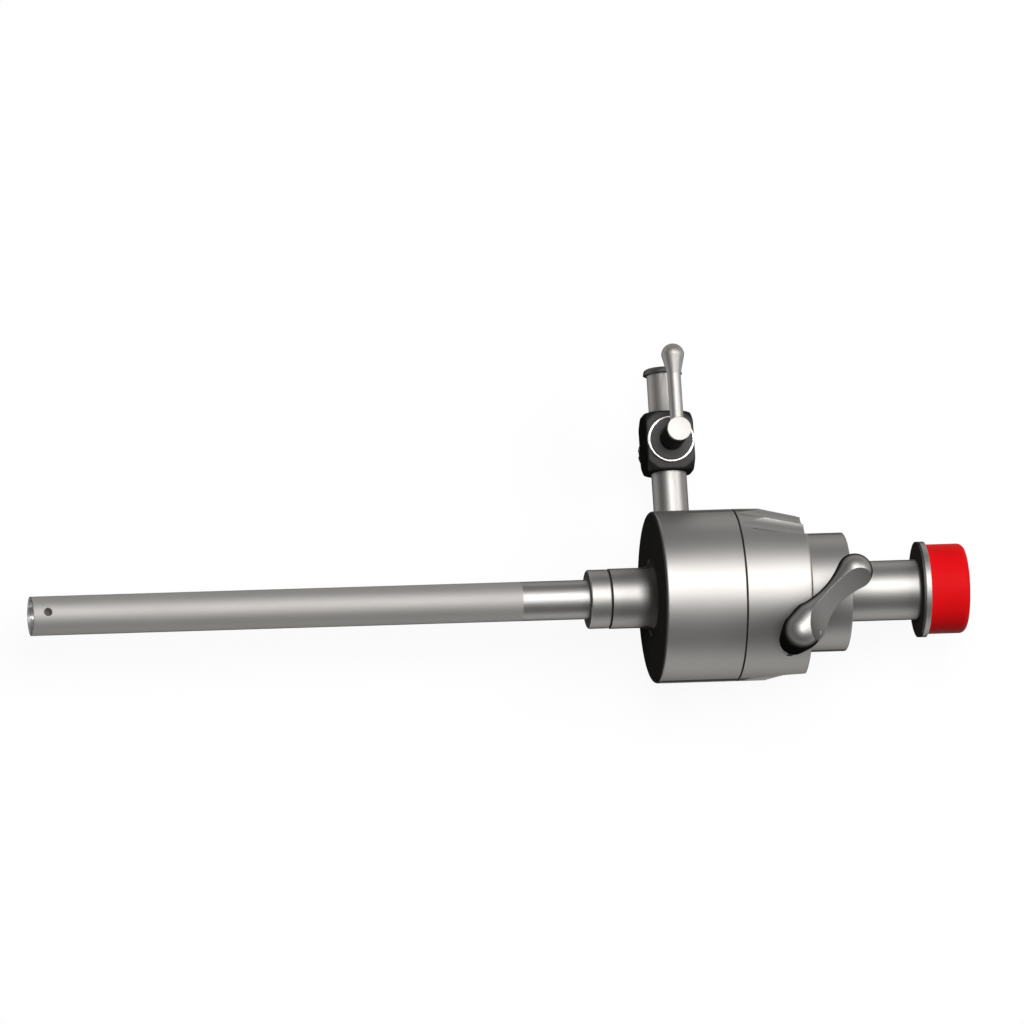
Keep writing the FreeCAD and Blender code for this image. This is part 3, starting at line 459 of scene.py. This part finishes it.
def make_floor():
    """A pale floor, white to the eye and to reflections, that still takes the object's shadow.

    A second one, well below, closes the view where a low camera looks out under the first.
    """
    mesh = bpy.data.meshes.new("floor")
    corners = [(x * FLOOR_REACH, y * FLOOR_REACH, 0)
               for x, y in ((-1, -1), (1, -1), (1, 1), (-1, 1))]
    mesh.from_pydata(corners, [], [(0, 1, 2, 3)])
    for name, depth in FLOOR_DEPTHS.items():
        floor = bpy.data.objects.new(name, mesh)
        bpy.context.scene.collection.objects.link(floor)
        floor.location.z = cad_low.z - depth * MM
    shade = Shade("floor")
    shade.tree.nodes.remove(shade.shader)
    diffuse = shade.add("BsdfDiffuse")
    glow = shade.add("Emission")
    glow.inputs["Color"].default_value = (1, 1, 1, 1)
    path = shade.add("LightPath")
    seen = shade.math("ADD", path.outputs["Is Camera Ray"], path.outputs["Is Glossy Ray"])
    seen = shade.math("ADD", seen, path.outputs["Is Transmission Ray"], clamp=True)
    shade.feed(diffuse.inputs["Color"], shade.span(seen, 0.0, 1.0, FLOOR_DARK, FLOOR_PALE))
    mix = shade.add("MixShader")
    shade.feed(mix.inputs[0], shade.math("MULTIPLY", seen, FLOOR_GLOW))
    shade.link(diffuse.outputs[0], mix.inputs[1])
    shade.link(glow.outputs[0], mix.inputs[2])
    shade.link(mix.outputs[0], shade.output.inputs[0])
    mesh.materials.append(shade.material)


def new_piece(name, mesh, material):
    mesh.materials.clear()
    mesh.materials.append(material)
    piece = bpy.data.objects.new(name, mesh)
    bpy.context.scene.collection.objects.link(piece)
    return piece


def smooth(mesh, sharp_degrees):
    """Shade a mesh smooth, but for edges that turn by more than the given angle."""
    mesh.shade_smooth()
    mesh.set_sharp_from_angle(angle=radians(sharp_degrees))


def lathe(name, profile, axis, body, material, stands_for=None):
    """A turned piece from a closed profile of (along, out) points in millimetres round an axis."""
    steps, weld = 160, 1e-8
    centre, direction = axis
    first = direction.orthogonal().normalized()
    second = direction.cross(first)
    points = []
    for step in range(steps):
        angle = 2 * pi * step / steps
        spoke = first * cos(angle) + second * sin(angle)
        points += [centre + (direction * along + spoke * out) * MM for along, out in profile]
    count = len(profile)
    faces = []
    for step in range(steps):
        here, there = step * count, (step + 1) % steps * count
        faces += [(here + k, here + (k + 1) % count, there + (k + 1) % count, there + k)
                  for k in range(count)]
    mesh = bpy.data.meshes.new(name)
    mesh.from_pydata(points, [], faces)
    built = bmesh.new()
    built.from_mesh(mesh)
    bmesh.ops.remove_doubles(built, verts=built.verts, dist=weld)
    bmesh.ops.dissolve_degenerate(built, edges=built.edges, dist=weld)
    bmesh.ops.recalc_face_normals(built, faces=built.faces)
    built.to_mesh(mesh)
    built.free()
    smooth(mesh, sharp_degrees=35)
    piece = new_piece(name, mesh, material)
    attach(piece, body)
    if stands_for:
        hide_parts(stands_for)


def soften(name, node, body, material):
    """A copy of a CAD node whose edges are rounded the way tumbling leaves them."""
    mesh = node.data.copy()
    mesh.transform(node.matrix_world)
    piece = new_piece(name, mesh, material)
    remesh = piece.modifiers.new("remesh", "REMESH")
    remesh.mode, remesh.voxel_size, remesh.use_smooth_shade = "VOXEL", 0.13 * MM, True
    tumble = piece.modifiers.new("tumble", "SMOOTH")
    tumble.factor, tumble.iterations = 0.5, 70
    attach(piece, body)
    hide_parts(node.name)


def lever_root(material):
    """The egg-shaped root of the lever, which runs from its round hub down into its foot."""
    levels, steps = 16, 96
    # In millimetres: its two ends, its radius at each, how far it leans along the lever on the
    # way up, and how far its lowest fifth is drawn in.
    bottom, top = 13.0, 18.8
    low_radius, high_radius = 2.71, 3.44
    lean, tuck_depth, tuck_rate = 0.79, 0.55, 5
    spokes = [Vector((cos(2 * pi * k / steps), sin(2 * pi * k / steps), 0)) for k in range(steps)]
    built = bmesh.new()
    rings = []
    for level in range(levels + 1):
        share = level / levels
        swell = (1 - cos(pi * share)) / 2
        height = bottom + (top - bottom) * share
        tuck = tuck_depth * max(0.0, 1 - share * tuck_rate) ** 2
        radius = low_radius + (high_radius - low_radius) * swell - tuck
        middle = SHAFT_AXIS[0] + (LEVER_LINE * lean * swell + Vector((0, 0, height))) * MM
        rings.append([built.verts.new(middle + spoke * radius * MM) for spoke in spokes])
    for low_ring, high_ring in zip(rings, rings[1:]):
        for k in range(steps):
            after = (k + 1) % steps
            built.faces.new((low_ring[k], low_ring[after], high_ring[after], high_ring[k]))
    built.faces.new(rings[0][::-1])
    built.faces.new(rings[-1])
    mesh = bpy.data.meshes.new("lever_root")
    built.to_mesh(mesh)
    built.free()
    smooth(mesh, sharp_degrees=50)
    piece = new_piece("lever_root", mesh, material)
    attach(piece, "flap_and_lever")


def rounded(centre_along, centre_out, radius, start, end, steps=8):
    """Points on a round of a profile, between two angles in degrees from the axis direction."""
    turns = [radians(start + (end - start) * k / steps) for k in range(steps + 1)]
    return [(centre_along + radius * cos(t), centre_out + radius * sin(t)) for t in turns]


# Closed profiles of the turned pieces that refine their CAD nodes: points along the axis and out
# from it, in millimetres.
PORT_PROFILE = [
    (-1.9, 1.25), (1.2, 1.25), (1.2, 1.92), (8.12, 2.14), (8.18, 2.22), (8.18, 2.40),
    (7.1, 2.40), (7.1, 2.86), (0.12, 2.86), (0, 2.78), (0, 2.2), (-1.9, 2.2),
]
RIM_PROFILE = [
    (7.12, 2.40), (8.2, 2.40), *rounded(7.45, 2.70, 0.75, 0, 62), (7.3, 3.47), (7.2, 3.49),
    (7.12, 3.40),
]
RING_PROFILE = [
    (4.35, 1.2), (4.93, 1.2), (4.93, 3.62), (4.62, 3.66), (4.62, 3.86),
    *rounded(4.75, 3.98, 0.17, -20, 90), (4.35, 4.15),
]
SHOULDER_PROFILE = [
    (103.0, 4.8), (103.0, 5.2), (103.1, 5.2405), *rounded(103.66, 5.123, 0.12, 90, 0, 4),
    (103.78, 4.8),
]
HUB_END_PROFILE = [
    (12.93, 0), (12.93, 2.153), *rounded(13.79, 2.073, 0.08, 90, 0, 4), (13.87, 0),
]


def dress():
    """Give every CAD node its finish, and add the pieces that refine some of them."""
    body = steel("turned_body", 0.40, 0.48, MAIN_AXIS).material
    ring = steel("fluted_ring", 0.40, 0.48, MAIN_AXIS).material
    drum = paint_front_shade(steel("drum_steel", 0.40, 0.48, MAIN_AXIS), *DRUM_FRONT_SHADE)
    neck = paint_front_shade(steel("turned_neck", 0.40, 0.47, MAIN_AXIS), *FLANGE_FRONT_SHADE)
    lever = lever_steel()
    branch = steel("branch_steel", 0.34, 0.46, BRANCH_AXIS).material
    # The block's very dark grey is painted shade; its grain is its own.
    block = steel("block_painted_shade", 0.045, 0.60, grain=1.0, wear=0.3).material
    # The port's paler grey is painted light that makes up for the rod's shadow on it.
    port = steel("port_painted_light", 0.46, 0.54, BRANCH_AXIS).material
    rim = steel("rim_steel", 0.16, 0.50, BRANCH_AXIS, grain=0.5, wear=0.4).material
    bright = bright_ring()
    tail = steel("plug_steel", 0.28, 0.42, PLUG_AXIS).material
    shaft = steel("shaft_steel", 0.40, 0.34, SHAFT_AXIS).material
    flap = steel("flap_steel", 0.45, 0.28, MAIN_AXIS, lines=0.6).material
    spring = steel("spring_wire", 0.32, 0.36, lines=1.0).material
    handle = handle_steel()
    finishes = {
        blasted_tube(): ["cannula_tube"],
        body: ["cannula_collar", "rear_housing"],
        drum: ["drum_shell"],
        ring: ["rear_ring"],
        neck: ["seal_neck"],
        lever: ["lever"],
        branch: ["stopcock_stem", "luer_port"],
        block: ["stopcock_block"],
        bright: ["plug_ring"],
        handle: ["plug_handle"],
        tail: ["stopcock_plug", "plug_nut"],
        shaft: ["lever_shaft", "lever_pin"],
        flap: ["flap_arm", "flap_plate", "flap_rivet"],
        spring: ["torsion_spring", "shaft_clip", "spring_washer"],
        black_rubber(): ["collar_seal", "housing_seal", "shaft_seal"],
        clear_silicone(): ["valve_seat", "neck_gasket"],
        bronze(): ["shaft_bushes"],
        white_plastic(): ["thrust_washer", "plug_washer"],
        red_silicone(): ["seal_cap"],
    }
    chosen = {node: material for material, nodes in finishes.items() for node in nodes}
    for name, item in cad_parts.items():
        for slot in item.material_slots:
            slot.material = chosen[name]
    soften("tumbled_block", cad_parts["stopcock_block"], "housing", block)
    lathe("port_body", PORT_PROFILE, PORT_AXIS, "housing", port, "luer_port")
    lathe("port_rim", RIM_PROFILE, PORT_AXIS, "housing", rim)
    lathe("rolled_ring", RING_PROFILE, PLUG_AXIS, "plug_and_handle", bright, "plug_ring")
    lathe("hub_end", HUB_END_PROFILE, PLUG_AXIS, "plug_and_handle", handle)
    lathe("collar_shoulder", SHOULDER_PROFILE, MAIN_AXIS, "housing", body)
    lever_root(lever)


make_camera()
make_floor()
make_light()
dress()
